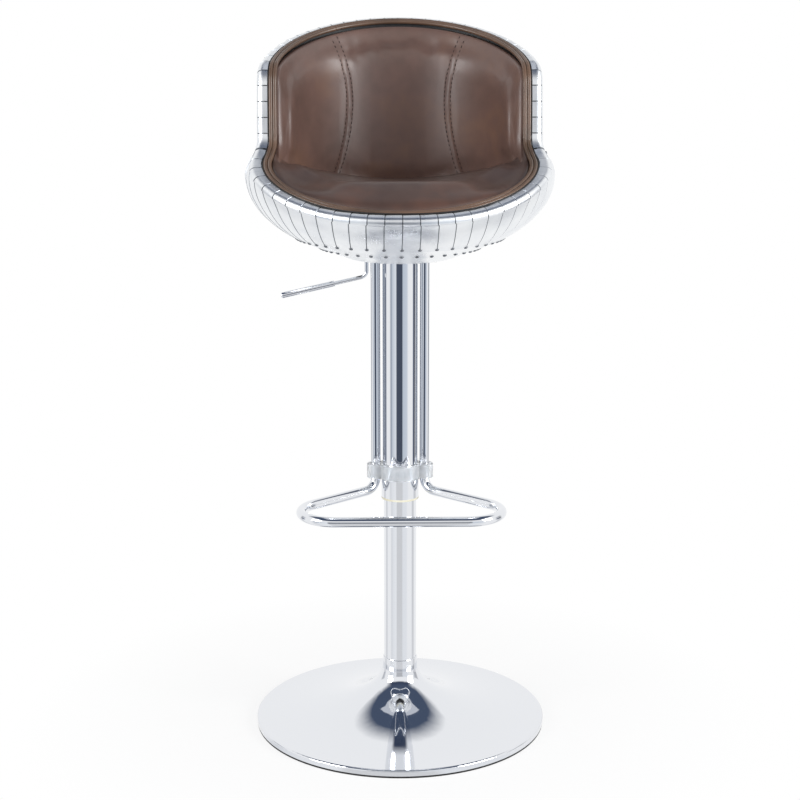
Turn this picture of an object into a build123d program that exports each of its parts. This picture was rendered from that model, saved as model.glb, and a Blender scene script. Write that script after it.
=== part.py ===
from build123d import *
import math
import os

# A gas-lift swivel bar stool with a riveted aluminium bucket seat, in millimetres, +Z up.
# The origin is on the floor under the column. The front of the seat faces -Y.
# It stands at its highest setting.

# Fits
RUNNING = 0.05
CLEAR = 0.3
SOFT_CLEAR = 0.5
SKIN_CLEAR = 0.2

# Trumpet base
BASE_DIAMETER = 450.0
BASE_SHEET = 2.0
BASE_LIP_ROUND = 3.0
FLOOR_RING_HEIGHT = 3.0
FLOOR_RING_WIDTH = 18.0
FLOOR_RING_INSET = 0.5
FLARE_DROP = 78.0
FLARE_EDGE_PAST_RIM = 10.0
NECK_HEIGHT = 86.0
NECK_BELOW_FLARE_TOP = 4.0
BALLAST_THICKNESS = 6.0
BALLAST_GAP = 6.0
FLANGE_DIAMETER = 150.0
FLANGE_THICKNESS = 6.0
FLANGE_BOLT_CIRCLE = 110.0
FLANGE_BOLT_COUNT = 4
FLANGE_BOLT_DIAMETER = 8.0
FLANGE_BOLT_HEAD = 13.0
FLANGE_BOLT_HEAD_HEIGHT = 2.5
NECK_RING_HEIGHT = 18.0
NECK_RING_WALL = 1.4
NECK_RING_BEAD = 1.0

# Lower pole and the gas spring inside it
POLE_DIAMETER = 50.0
POLE_WALL = 2.0
POLE_TOP = 500.0
GUIDE_BUSH_LENGTH = 60.0
GUIDE_BUSH_FLANGE = 3.0
SPRING_DIAMETER = 28.0
SPRING_WALL = 2.0
SPRING_BOTTOM = 262.0
SPRING_GLAND_LENGTH = 16.0
SPRING_TAPER_LENGTH = 36.0
SPRING_TAPER_DROP = 1.0
SPRING_PROUD = 1.0
LIFT_ROD_DIAMETER = 10.0
LIFT_ROD_HEAD_DIAMETER = 20.0
LIFT_ROD_HEAD_HEIGHT = 4.0
PISTON_LENGTH = 14.0
BEARING_DIAMETER = 26.0
BEARING_RACE = 2.0
BEARING_BALL = 4.0
BEARING_BALL_COUNT = 8
BEARING_SEAT_HEIGHT = 12.0

# Cover tube, guide sleeve, clamp band and the bent footrest tube
COVER_DIAMETER = 54.0
COVER_WALL = 1.5
SLEEVE_DIAMETER = 57.0
SLEEVE_BOTTOM = 365.0
SLEEVE_LENGTH = 30.0
SLEEVE_BUSH_LENGTH = 24.0
SLEEVE_BUSH_LIP = 3.0
BAND_HEIGHT = 22.0
BAND_WALL = 5.0
BAND_EAR_WALL = 6.0
BAND_ROUND = 2.0
FOOT_TUBE_DIAMETER = 15.0
FOOT_TUBE_WALL = 1.5
FOOT_ROD_SPACING = 74.0
FOOT_LOOP_HEIGHT = 376.0
FOOT_LOOP_REACH = 176.0
FOOT_LOOP_HALF_WIDTH = 147.0
FOOT_CORNER_RADIUS = 52.0
FOOT_ELBOW_RADIUS = 20.0

# Bucket shell and its aluminium skin
BOWL_RADIUS = 226.0
BOWL_DEPTH = 124.0
BOWL_WIDEST = 858.0
BOWL_FLOOR = 742.0
SHOULDER_STEP = 18.0
SHOULDER_TOP = 906.0
SHELL_WALL = 18.0
RIM_ROUND = 8.0
RIM_INNER_ROUND = 5.0
SKIN = 1.0
SHELL_HOLE_DIAMETER = 124.0
SHELL_HEADROOM = 1150.0
RIM_FRONT = 820.0
RIM_FRONT_BEND = -190.0
RIM_FRONT_BEND_RADIUS = 120.0
RIM_NOTCH = (-5.0, 896.0)
RIM_NOTCH_RADIUS = 30.0
RIM_CORNER = (10.0, 1010.0)
RIM_CORNER_RADIUS = 35.0
RIM_TOP = 1082.0

# Upholstery
SEAT_BOARD_DIAMETER = 240.0
SEAT_BOARD_THICKNESS = 9.0
SEAT_MIDDLE = 845.0
SEAT_HOLLOW = 45.0
SEAT_LEAN = 4.7
SEAT_ROLL = 32.0
BACK_PAD_FOOT = 34.0
BACK_PAD_CROWN = 40.0
BACK_PAD_HEAD = 20.0
BACK_PAD_LEAN = 16.0
BACK_PAD_FRONT = -50.0
WELT_WIDTH = 12.0
WELT_HEIGHT = 9.0
WELT_PROUD = 2.0
BACK_SEAM_TOP = 107.0
BACK_SEAM_WAIST = 75.0
BACK_SEAM_FOOT = 96.0
BACK_SEAM_WIDTH = 3.0
BACK_SEAM_DEPTH = 3.0

# Seat plate, hub and lever
PLATE_DIAMETER = 150.0
PLATE_THICKNESS = 4.0
PLATE_SCREW_COUNT = 4
PLATE_SCREW_DIAMETER = 6.0
PLATE_SCREW_HEAD = 10.0
PLATE_SCREW_HEAD_HEIGHT = 2.5
PLATE_SCREW_LENGTH = 14.0
HUB_DIAMETER = 44.0
HUB_LENGTH = 30.0
VALVE_PIN_DIAMETER = 6.0
VALVE_PIN_LENGTH = 22.0
VALVE_PIN_PROUD = 9.0
LEVER_DIAMETER = 6.0
LEVER_PIVOT = 25.0
LEVER_PIVOT_PIN = 4.0
LEVER_EYE_DIAMETER = 11.0
LEVER_EYE_WIDTH = 9.0
LEVER_DROP = 50.0
LEVER_DROP_HEIGHT = 705.7
LEVER_TIP = (175.0, 677.0)
LEVER_BEND_RADIUS = 10.0
LEVER_INNER_BEND_RADIUS = 9.0
LEVER_SLOT_ROOM = 4.0
GRIP_DIAMETER = 9.0
GRIP_LENGTH = 82.0
BRACKET_SHEET = 2.5
BRACKET_LENGTH = 18.0

# Heights and radii that follow from the sizes above
BASE_RADIUS = BASE_DIAMETER / 2
BALLAST_BOTTOM = FLOOR_RING_HEIGHT
FLANGE_BOTTOM = BALLAST_BOTTOM + BALLAST_THICKNESS
POLE_BOTTOM = FLANGE_BOTTOM + FLANGE_THICKNESS
POLE_RADIUS = POLE_DIAMETER / 2
POLE_BORE = POLE_RADIUS - POLE_WALL
SPRING_RADIUS = SPRING_DIAMETER / 2
SPRING_BORE = SPRING_RADIUS - SPRING_WALL
LIFT_ROD_RADIUS = LIFT_ROD_DIAMETER / 2
BEARING_BOTTOM = POLE_BOTTOM + BEARING_SEAT_HEIGHT
BEARING_TOP = BEARING_BOTTOM + 2 * BEARING_RACE + BEARING_BALL
PISTON_BOTTOM = SPRING_BOTTOM + SPRING_GLAND_LENGTH + CLEAR
PLATE_TOP = BOWL_FLOOR - SKIN_CLEAR - SKIN
PLATE_BOTTOM = PLATE_TOP - PLATE_THICKNESS
SPRING_TOP = PLATE_TOP + SPRING_PROUD
SLEEVE_TOP = SLEEVE_BOTTOM + SLEEVE_LENGTH
COVER_RADIUS = COVER_DIAMETER / 2
FOOT_TUBE_RADIUS = FOOT_TUBE_DIAMETER / 2
FOOT_ROD_X = FOOT_ROD_SPACING / 2
VALVE_PIN_TOP = SPRING_TOP + VALVE_PIN_PROUD
LEVER_HEIGHT = VALVE_PIN_TOP + CLEAR + LEVER_DIAMETER / 2
BACK_RADIUS = BOWL_RADIUS - SHOULDER_STEP
RIM_FAR = BOWL_RADIUS + RIM_CORNER[0] + RIM_ROUND + RIM_CORNER_RADIUS
RIM_SLOPE = (RIM_TOP - RIM_CORNER[1]) / (BACK_RADIUS - RIM_CORNER[0])


def cylinder(radius, low, high, x=0.0, y=0.0):
    """An upright round bar between two heights."""
    upright = (Align.CENTER, Align.CENTER, Align.MIN)
    return Pos(x, y, low) * Cylinder(radius, high - low, align=upright)


def ring(outer, inner, low, high, x=0.0, y=0.0):
    """An upright tube between two heights."""
    return cylinder(outer, low, high, x, y) - cylinder(inner, low, high, x, y)


def turned(*edges):
    """A body turned about the column from a half section of radius and height."""
    return revolve(Plane.XZ * make_face(edges), Axis.Z)


def round_places(radius, count, start=0.0):
    """Evenly spaced points on a circle round the column."""
    turns = [math.radians(start + 360.0 * i / count) for i in range(count)]
    return [(radius * math.cos(t), radius * math.sin(t)) for t in turns]


def bent_bar(path, radius):
    """A round bar bent along a path."""
    start = Plane(origin=path @ 0, z_dir=path % 0)
    return sweep(start * Circle(radius), path=path)


def write(node, shape):
    export_step(shape, f"parts/{node}.step")


# Trumpet base
def flare(thicker):
    """The flare's quarter ellipse, from the neck to the rim, moved in by a thickness."""
    centre = (BASE_RADIUS + FLARE_EDGE_PAST_RIM, NECK_HEIGHT + NECK_BELOW_FLARE_TOP)
    across = centre[0] - POLE_RADIUS - CLEAR - BASE_SHEET + thicker
    down = FLARE_DROP + thicker
    reach = BASE_RADIUS - thicker
    start = 180.0 + math.degrees(math.asin((centre[1] - NECK_HEIGHT) / down))
    end = 180.0 + math.degrees(math.acos((centre[0] - reach) / across))
    return EllipticalCenterArc(centre, across, down, start, arc_size=end - start)


def base_cover():
    """The spun and chromed flare with its turned-down lip."""
    outside = flare(0.0)
    inside = flare(BASE_SHEET)
    foot = FLOOR_RING_HEIGHT
    cover = turned(
        outside,
        Line(outside @ 1, (BASE_RADIUS, foot)),
        Line((BASE_RADIUS, foot), (BASE_RADIUS - BASE_SHEET, foot)),
        Line((BASE_RADIUS - BASE_SHEET, foot), inside @ 1),
        inside,
        Line(inside @ 0, outside @ 0),
    )
    lip = cover.edges().filter_by(GeomType.CIRCLE).sort_by(SortBy.RADIUS)[-2:].sort_by(Axis.Z)[-1]
    return fillet(lip, BASE_LIP_ROUND)


def base_group():
    """The flare, its ballast, its floor ring, the flange and the bolts between them."""
    ring_outer = BASE_RADIUS - FLOOR_RING_INSET
    bolts_at = round_places(FLANGE_BOLT_CIRCLE / 2, FLANGE_BOLT_COUNT, 45.0)
    bolt_radius = FLANGE_BOLT_DIAMETER / 2
    ballast_radius = BASE_RADIUS - BASE_SHEET - BALLAST_GAP
    ballast = cylinder(ballast_radius, BALLAST_BOTTOM, FLANGE_BOTTOM)
    flange = cylinder(FLANGE_DIAMETER / 2, FLANGE_BOTTOM, POLE_BOTTOM)
    bolts = []
    for x, y in bolts_at:
        hole = cylinder(bolt_radius + RUNNING, BALLAST_BOTTOM, POLE_BOTTOM, x, y)
        recess_top = BALLAST_BOTTOM + FLANGE_BOLT_HEAD_HEIGHT
        recess = cylinder(FLANGE_BOLT_HEAD / 2 + CLEAR, BALLAST_BOTTOM, recess_top, x, y)
        ballast = ballast - hole - recess
        flange = flange - hole
        head = cylinder(FLANGE_BOLT_HEAD / 2, BALLAST_BOTTOM, recess_top, x, y)
        bolts.append(head + cylinder(bolt_radius, recess_top, POLE_BOTTOM, x, y))
    write("base_cover", base_cover())
    write("floor_ring", ring(ring_outer, ring_outer - FLOOR_RING_WIDTH, 0.0, FLOOR_RING_HEIGHT))
    write("ballast_disc", ballast)
    write("pole_flange", flange)
    write("flange_bolts", Compound(children=bolts))


def neck_ring():
    """The trim collar at the foot of the pole, with a rolled bead at its lower edge."""
    inner = POLE_RADIUS + RUNNING
    outer = inner + NECK_RING_WALL
    top = NECK_HEIGHT + NECK_RING_HEIGHT
    collar = ring(outer, inner, NECK_HEIGHT, top)
    return fillet(collar.edges().group_by(Axis.Z)[-1].sort_by(SortBy.LENGTH)[-1], NECK_RING_BEAD)


# Pole and gas spring
def pole_group():
    """The pole, the nylon bush in its mouth and the bearing seat at its foot."""
    bush_bottom = POLE_TOP - GUIDE_BUSH_LENGTH
    bush = ring(POLE_BORE - RUNNING, SPRING_RADIUS + RUNNING, bush_bottom, POLE_TOP)
    bush += ring(POLE_RADIUS - CLEAR, SPRING_RADIUS + RUNNING, POLE_TOP, POLE_TOP + GUIDE_BUSH_FLANGE)
    seat = cylinder(POLE_BORE - RUNNING, POLE_BOTTOM, BEARING_BOTTOM)
    seat -= cylinder(LIFT_ROD_HEAD_DIAMETER / 2 + CLEAR, POLE_BOTTOM, BEARING_BOTTOM - BEARING_RACE)
    seat -= cylinder(LIFT_ROD_RADIUS + RUNNING, POLE_BOTTOM, BEARING_BOTTOM)
    write("pole", ring(POLE_RADIUS, POLE_BORE, POLE_BOTTOM, POLE_TOP))
    write("guide_bush", bush)
    write("bearing_seat", seat)
    race_bore = LIFT_ROD_RADIUS + RUNNING
    race_top = BEARING_BOTTOM + BEARING_RACE
    write("lower_race", ring(BEARING_DIAMETER / 2, race_bore, BEARING_BOTTOM, race_top))


def lift_rod_group():
    """The rod that stands on the thrust bearing, its piston, the upper race and the caged balls."""
    race_low = BEARING_TOP - BEARING_RACE
    ball_radius = BEARING_BALL / 2 - RUNNING
    ball_circle = (BEARING_DIAMETER / 2 + LIFT_ROD_RADIUS) / 2
    ball_height = BEARING_BOTTOM + BEARING_RACE + BEARING_BALL / 2
    balls = [
        Pos(x, y, ball_height) * Sphere(ball_radius)
        for x, y in round_places(ball_circle, BEARING_BALL_COUNT)
    ]
    cage_half = BEARING_BALL / 4
    cage_low, cage_high = ball_height - cage_half, ball_height + cage_half
    cage = ring(BEARING_DIAMETER / 2, LIFT_ROD_RADIUS + RUNNING, cage_low, cage_high)
    for x, y in round_places(ball_circle, BEARING_BALL_COUNT):
        cage -= Pos(x, y, ball_height) * Sphere(BEARING_BALL / 2)
    head_top = BEARING_BOTTOM - BEARING_RACE - CLEAR
    head_low = head_top - LIFT_ROD_HEAD_HEIGHT
    rod = cylinder(LIFT_ROD_RADIUS, head_low, PISTON_BOTTOM + PISTON_LENGTH)
    collar = ring(LIFT_ROD_HEAD_DIAMETER / 2, LIFT_ROD_RADIUS, head_low, head_top)
    shoulder_high = BEARING_TOP + LIFT_ROD_HEAD_HEIGHT
    shoulder = ring(LIFT_ROD_HEAD_DIAMETER / 2, LIFT_ROD_RADIUS, BEARING_TOP, shoulder_high)
    write("lift_rod", rod)
    write("rod_clip", collar)
    write("rod_shoulder", shoulder)
    piston_top = PISTON_BOTTOM + PISTON_LENGTH
    write("piston", ring(SPRING_BORE - RUNNING, LIFT_ROD_RADIUS, PISTON_BOTTOM, piston_top))
    write("upper_race", ring(BEARING_DIAMETER / 2, LIFT_ROD_RADIUS, race_low, BEARING_TOP))
    write("bearing_balls", Compound(children=balls))
    write("ball_cage", cage)


def gas_cylinder():
    """The pressure tube, closed at its tapered top but for the valve pin's bore."""
    taper_low = SPRING_TOP - SPRING_TAPER_LENGTH
    narrow = SPRING_RADIUS - SPRING_TAPER_DROP
    tube = turned(
        Polyline(
            (0.0, SPRING_BOTTOM),
            (SPRING_RADIUS, SPRING_BOTTOM),
            (SPRING_RADIUS, taper_low),
            (narrow, SPRING_TOP),
            (0.0, SPRING_TOP),
            close=True,
        )
    )
    tube -= cylinder(SPRING_BORE, SPRING_BOTTOM, taper_low)
    return tube - cylinder(VALVE_PIN_DIAMETER / 2 + RUNNING, taper_low, SPRING_TOP)


def spring_group():
    gland_top = SPRING_BOTTOM + SPRING_GLAND_LENGTH
    gland = ring(SPRING_BORE - RUNNING, LIFT_ROD_RADIUS + RUNNING, SPRING_BOTTOM, gland_top)
    pin_low = VALVE_PIN_TOP - VALVE_PIN_LENGTH
    pin = cylinder(VALVE_PIN_DIAMETER / 2, pin_low, VALVE_PIN_TOP)
    write("gas_cylinder", gas_cylinder())
    write("rod_gland", gland)
    write("valve_pin", fillet(pin.edges().group_by(Axis.Z)[-1], VALVE_PIN_DIAMETER / 6))


# Cover tube, sleeve, band and footrest
def column_cover_group():
    """The tubes that slide over the pole, and the nylon bush that runs on it."""
    cover_bore = COVER_RADIUS - COVER_WALL
    sleeve_bore = COVER_RADIUS
    bush_outer = sleeve_bore - RUNNING
    bush_top = SLEEVE_BOTTOM + SLEEVE_BUSH_LENGTH
    lip_low = SLEEVE_BOTTOM - SLEEVE_BUSH_LIP
    bush = ring(bush_outer, POLE_RADIUS + RUNNING, SLEEVE_BOTTOM, bush_top)
    bush += ring(SLEEVE_DIAMETER / 2, POLE_RADIUS + RUNNING, lip_low, SLEEVE_BOTTOM)
    write("cover_tube", ring(COVER_RADIUS, cover_bore, SLEEVE_TOP, PLATE_BOTTOM))
    write("guide_sleeve", ring(SLEEVE_DIAMETER / 2, sleeve_bore, SLEEVE_BOTTOM, SLEEVE_TOP))
    write("sleeve_bush", bush)


def foot_path():
    """One bent tube: down beside the column, out, round the loop, back and up again."""
    corner_x = FOOT_LOOP_HALF_WIDTH - FOOT_CORNER_RADIUS - FOOT_ROD_X
    corner_y = FOOT_LOOP_REACH - FOOT_CORNER_RADIUS
    span = math.hypot(corner_x, corner_y)
    turn = math.atan2(corner_y, corner_x) - math.asin(FOOT_CORNER_RADIUS / span)
    vertex_x = FOOT_ROD_X + FOOT_LOOP_REACH / math.tan(turn)
    points = [
        (-FOOT_ROD_X, 0.0, PLATE_BOTTOM),
        (-FOOT_ROD_X, 0.0, FOOT_LOOP_HEIGHT),
        (-vertex_x, -FOOT_LOOP_REACH, FOOT_LOOP_HEIGHT),
        (vertex_x, -FOOT_LOOP_REACH, FOOT_LOOP_HEIGHT),
        (FOOT_ROD_X, 0.0, FOOT_LOOP_HEIGHT),
        (FOOT_ROD_X, 0.0, PLATE_BOTTOM),
    ]
    elbow = FOOT_ELBOW_RADIUS
    corner = FOOT_CORNER_RADIUS
    return FilletPolyline(*points, radius=[elbow, corner, corner, elbow])


def footrest():
    path = foot_path()
    return bent_bar(path, FOOT_TUBE_RADIUS) - bent_bar(path, FOOT_TUBE_RADIUS - FOOT_TUBE_WALL)


def clamp_band():
    """The moulded yoke that ties both uprights to the cover tube."""
    ear = FOOT_TUBE_RADIUS + BAND_EAR_WALL
    outline = make_hull(
        (Pos(-FOOT_ROD_X, 0) * Circle(ear)).edges()
        + (Pos(FOOT_ROD_X, 0) * Circle(ear)).edges()
    )
    outline += Circle(COVER_RADIUS + BAND_WALL)
    outline -= Circle(COVER_RADIUS + RUNNING)
    for x in (-FOOT_ROD_X, FOOT_ROD_X):
        outline -= Pos(x, 0) * Circle(FOOT_TUBE_RADIUS + RUNNING)
    band = Pos(0, 0, SLEEVE_TOP) * extrude(outline, BAND_HEIGHT)
    outside = band.faces().sort_by(Axis.Z)[-1].outer_wire().edges()
    return fillet(outside, BAND_ROUND)


def plate_screw_places():
    """The seat plate's screws, halfway between its edge and the hole in the shell."""
    return round_places((PLATE_DIAMETER + SHELL_HOLE_DIAMETER) / 4, PLATE_SCREW_COUNT, 45.0)


# Bucket shell
def wall_line(grow):
    """The shell's outer half section, moved out by grow: flat floor, elliptical bowl, shoulder, back."""
    wide = BOWL_RADIUS + grow
    deep = BOWL_DEPTH + grow
    drop = BOWL_WIDEST - BOWL_FLOOR + grow
    floor = BOWL_WIDEST - drop
    flat = wide * math.sqrt(1.0 - (drop / deep) ** 2)
    start = math.degrees(math.atan2(-drop / deep, flat / wide))
    bowl = EllipticalCenterArc((0, BOWL_WIDEST), wide, deep, start, arc_size=-start)
    back = BACK_RADIUS + grow
    middle = ((wide + back) / 2, (BOWL_WIDEST + SHOULDER_TOP) / 2)
    return [
        Line((0, floor), bowl @ 0),
        bowl,
        TangentArc((wide, BOWL_WIDEST), middle, tangent=(0, 1)),
        TangentArc((back, SHOULDER_TOP), middle, tangent=(0, -1)),
        Polyline((back, SHOULDER_TOP), (back, SHELL_HEADROOM), (0, SHELL_HEADROOM), (0, floor)),
    ]


def rim_line():
    """The rim seen from the side: low at the front, up the notch, and over to the top of the back."""
    far_top = RIM_TOP + RIM_SLOPE * (RIM_FAR - BACK_RADIUS)
    points = [(-RIM_FAR, RIM_FRONT), (RIM_FRONT_BEND, RIM_FRONT), RIM_NOTCH, RIM_CORNER, (RIM_FAR, far_top)]
    return FilletPolyline(*points, radius=[RIM_FRONT_BEND_RADIUS, RIM_NOTCH_RADIUS, RIM_CORNER_RADIUS])


def below_rim(grow):
    """Everything below the rim line, with the line moved up by grow."""
    line = rim_line()
    front, rear = line @ 0, line @ 1
    base = (front.X, 0.0), (rear.X, 0.0)
    area = make_face([line, Polyline((rear.X, rear.Y), base[1], base[0], (front.X, front.Y))])
    if grow:
        area = offset(area, amount=grow)
    return extrude(Plane.YZ * area, amount=RIM_FAR, both=True)


def rim_edges(body, grow):
    """The edges of a body that lie on the rim line moved up by grow."""
    rim = Plane.YZ * rim_line()
    found = []
    for edge in body.edges():
        if edge.geom_type == GeomType.LINE:
            continue
        points = [edge @ share for share in (0.1, 0.5, 0.9)]
        away = [abs(Vertex(0, p.Y, p.Z).distance_to(rim) - abs(grow)) for p in points]
        if max(away) < 0.01:
            found.append(edge)
    return found


def bucket(grow):
    """The filled bucket, with its outer edge rolled over."""
    body = turned(*wall_line(grow)) & below_rim(grow)
    return fillet(rim_edges(body, grow), RIM_ROUND + grow)


def shell_group():
    """The moulded shell and the sheet skin that wraps it and its rim."""
    filled = bucket(0.0)
    hole = cylinder(SHELL_HOLE_DIAMETER / 2, BOWL_FLOOR - 2 * SKIN, BOWL_FLOOR + 2 * SHELL_WALL)
    for x, y in plate_screw_places():
        screw_top = PLATE_BOTTOM + PLATE_SCREW_LENGTH
        hole += cylinder(PLATE_SCREW_DIAMETER / 2 + RUNNING, PLATE_TOP, screw_top, x, y)
    shell = filled - turned(*wall_line(-SHELL_WALL)) - hole
    shell = fillet(rim_edges(shell, 0.0), RIM_INNER_ROUND)
    skin = bucket(SKIN_CLEAR + SKIN) - bucket(SKIN_CLEAR) - turned(*wall_line(-SHELL_WALL / 2)) - hole
    write("bucket_shell", shell)
    write("aluminium_skin", skin)


# Upholstery
def seat_top(grow):
    """Everything under the seat's hollowed top, which leans back, raised by grow."""
    half = BOWL_RADIUS - SHELL_WALL
    side = SEAT_HOLLOW + grow
    low = BOWL_FLOOR - SEAT_MIDDLE
    top = ThreePointArc((-half, side), (0, grow), (half, side))
    section = make_face([top, Polyline((half, side), (half, low), (-half, low), (-half, side))])
    body = extrude(Plane.XZ * section, amount=RIM_FAR, both=True)
    return Pos(0, 0, SEAT_MIDDLE) * Rot(-SEAT_LEAN, 0, 0) * body


def above_welt(spare):
    """The room over and inside the welt that no cushion may fill."""
    ledge = turned(*wall_line(0.0)) - turned(*wall_line(-SHELL_WALL - SOFT_CLEAR - WELT_WIDTH - spare))
    return ledge - below_rim(WELT_PROUD - WELT_HEIGHT - spare)


def welt_zone(spare):
    """The band along the inside of the rim that the welt fills, with spare room all round."""
    band = turned(*wall_line(-SHELL_WALL - SOFT_CLEAR + spare))
    band -= turned(*wall_line(-SHELL_WALL - SOFT_CLEAR - WELT_WIDTH - spare))
    return band & (below_rim(WELT_PROUD + spare) - below_rim(WELT_PROUD - WELT_HEIGHT - spare))


def seam_groove(side):
    """The sunk line of one curved seam of the back cushion."""
    waist = (side * BACK_SEAM_WAIST, (RIM_TOP + SEAT_MIDDLE) / 2)
    foot = (side * BACK_SEAM_FOOT, SEAT_MIDDLE - SEAT_ROLL)
    line = ThreePointArc((side * BACK_SEAM_TOP, RIM_TOP), waist, foot)
    strip = Plane.XZ * trace(line, BACK_SEAM_WIDTH)
    return extrude(strip, amount=-BOWL_RADIUS)


def back_face(sink):
    """The open room in front of the back cushion's crowned face, moved back by sink."""
    wall = BACK_RADIUS - SHELL_WALL
    low, high = SEAT_MIDDLE - SEAT_ROLL, RIM_TOP
    face = ThreePointArc(
        (wall - BACK_PAD_FOOT + BACK_PAD_LEAN + sink, low),
        (wall - BACK_PAD_CROWN + BACK_PAD_LEAN + sink, (low + high) / 2),
        (wall - BACK_PAD_HEAD + BACK_PAD_LEAN + sink, high),
    )
    top = SHELL_HEADROOM
    foot, head = face @ 0, face @ 1
    room = turned(face, Polyline((head.X, head.Y), (head.X, top), (0, top), (0, low), (foot.X, foot.Y)))
    return Pos(0, -BACK_PAD_LEAN, 0) * room


def back_cushion():
    wall = turned(*wall_line(-SHELL_WALL - SOFT_CLEAR))
    front_cut = Pos(0, BACK_PAD_FRONT, 0) * Box(
        2 * RIM_FAR, RIM_FAR, 2 * SHELL_HEADROOM, align=(Align.CENTER, Align.MIN, Align.CENTER)
    )
    pad = (wall & below_rim(0.0) & front_cut) - back_face(0.0) - seat_top(SOFT_CLEAR) - above_welt(SOFT_CLEAR)
    skin = back_face(BACK_SEAM_DEPTH)
    for side in (-1, 1):
        pad -= seam_groove(side) & skin
    return pad


def seat_cushion():
    """The seat: round, hollowed across, its edge rolled down all the way round to the welt."""
    wall = turned(*wall_line(-SHELL_WALL - SOFT_CLEAR))
    board_top = seat_board_height() + SEAT_BOARD_THICKNESS + SOFT_CLEAR
    radius = BOWL_RADIUS - SHELL_WALL - WELT_WIDTH - 2 * SOFT_CLEAR
    block = cylinder(radius, board_top, SHELL_HEADROOM) & seat_top(0.0)
    upper = [e for e in block.edges() if e.geom_type != GeomType.LINE and e.center().Z > board_top + CLEAR]
    return (wall & fillet(upper, SEAT_ROLL)) - above_welt(SOFT_CLEAR)


def seat_board_height():
    """Where the board's lower edge comes to rest on the inside of the bowl."""
    wide = BOWL_RADIUS - SHELL_WALL
    deep = BOWL_DEPTH - SHELL_WALL
    return BOWL_WIDEST - deep * math.sqrt(1.0 - (SEAT_BOARD_DIAMETER / 2 / wide) ** 2) + CLEAR


def upholstery_group():
    low = seat_board_height()
    write("seat_board", cylinder(SEAT_BOARD_DIAMETER / 2, low, low + SEAT_BOARD_THICKNESS))
    write("seat_cushion", seat_cushion())
    write("back_cushion", back_cushion())
    write("welt", welt_zone(0.0))


# Seat plate and lever
def plate_group():
    """The plate under the bucket, the tapered hub welded to it, and the screws into the shell."""
    plate = cylinder(PLATE_DIAMETER / 2, PLATE_BOTTOM, PLATE_TOP)
    hub = cylinder(HUB_DIAMETER / 2, PLATE_BOTTOM - HUB_LENGTH, PLATE_BOTTOM)
    seat = gas_cylinder_outside(RUNNING)
    plate -= seat
    hub -= seat
    slot_left = LEVER_DROP + LEVER_DIAMETER / 2 + LEVER_SLOT_ROOM
    slot_right = LEVER_DROP - LEVER_DIAMETER / 2 - CLEAR
    slot = Pos(-(slot_left + slot_right) / 2, 0, PLATE_BOTTOM) * Box(
        slot_left - slot_right,
        LEVER_DIAMETER + LEVER_SLOT_ROOM,
        PLATE_THICKNESS,
        align=(Align.CENTER, Align.CENTER, Align.MIN),
    )
    plate -= slot
    screws = []
    for x, y in plate_screw_places():
        shank = PLATE_SCREW_DIAMETER / 2
        plate -= cylinder(shank + RUNNING, PLATE_BOTTOM, PLATE_TOP, x, y)
        head = cylinder(PLATE_SCREW_HEAD / 2, PLATE_BOTTOM - PLATE_SCREW_HEAD_HEIGHT, PLATE_BOTTOM, x, y)
        screws.append(head + cylinder(shank, PLATE_BOTTOM, PLATE_BOTTOM + PLATE_SCREW_LENGTH, x, y))
    write("seat_plate", plate)
    write("taper_hub", hub)
    write("plate_screws", Compound(children=screws))


def gas_cylinder_outside(spare):
    """The outside of the gas spring's tapered end, with spare room."""
    taper_low = SPRING_TOP - SPRING_TAPER_LENGTH
    wide = SPRING_RADIUS + spare
    narrow = wide - SPRING_TAPER_DROP
    return turned(
        Polyline(
            (0, SPRING_BOTTOM),
            (wide, SPRING_BOTTOM),
            (wide, taper_low),
            (narrow, SPRING_TOP),
            (0, SPRING_TOP),
            close=True,
        )
    )


def lever_bracket():
    """Two ears on the plate that carry the lever's pivot."""
    inner = LEVER_EYE_WIDTH / 2 + CLEAR
    top = LEVER_HEIGHT + LEVER_EYE_DIAMETER / 2
    ears = []
    for side in (-1, 1):
        ear = Pos(-LEVER_PIVOT, side * (inner + BRACKET_SHEET / 2), PLATE_TOP) * Box(
            BRACKET_LENGTH, BRACKET_SHEET, top - PLATE_TOP, align=(Align.CENTER, Align.CENTER, Align.MIN)
        )
        ears.append(ear - lever_axis(LEVER_PIVOT_PIN / 2 + RUNNING))
    return Compound(children=ears)


def lever_axis(radius):
    """A bar along the lever's pivot axis, through both ears."""
    length = LEVER_EYE_WIDTH + 2 * CLEAR + 2 * BRACKET_SHEET
    return Pos(-LEVER_PIVOT, 0, LEVER_HEIGHT) * Rot(90, 0, 0) * Cylinder(radius, length)


def lever_path():
    tip = (-LEVER_TIP[0], 0, LEVER_TIP[1])
    points = [
        (VALVE_PIN_DIAMETER / 2, 0, LEVER_HEIGHT),
        (-LEVER_DROP, 0, LEVER_HEIGHT),
        (-LEVER_DROP, 0, LEVER_DROP_HEIGHT),
        tip,
    ]
    return FilletPolyline(*points, radius=[LEVER_INNER_BEND_RADIUS, LEVER_BEND_RADIUS])


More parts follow.
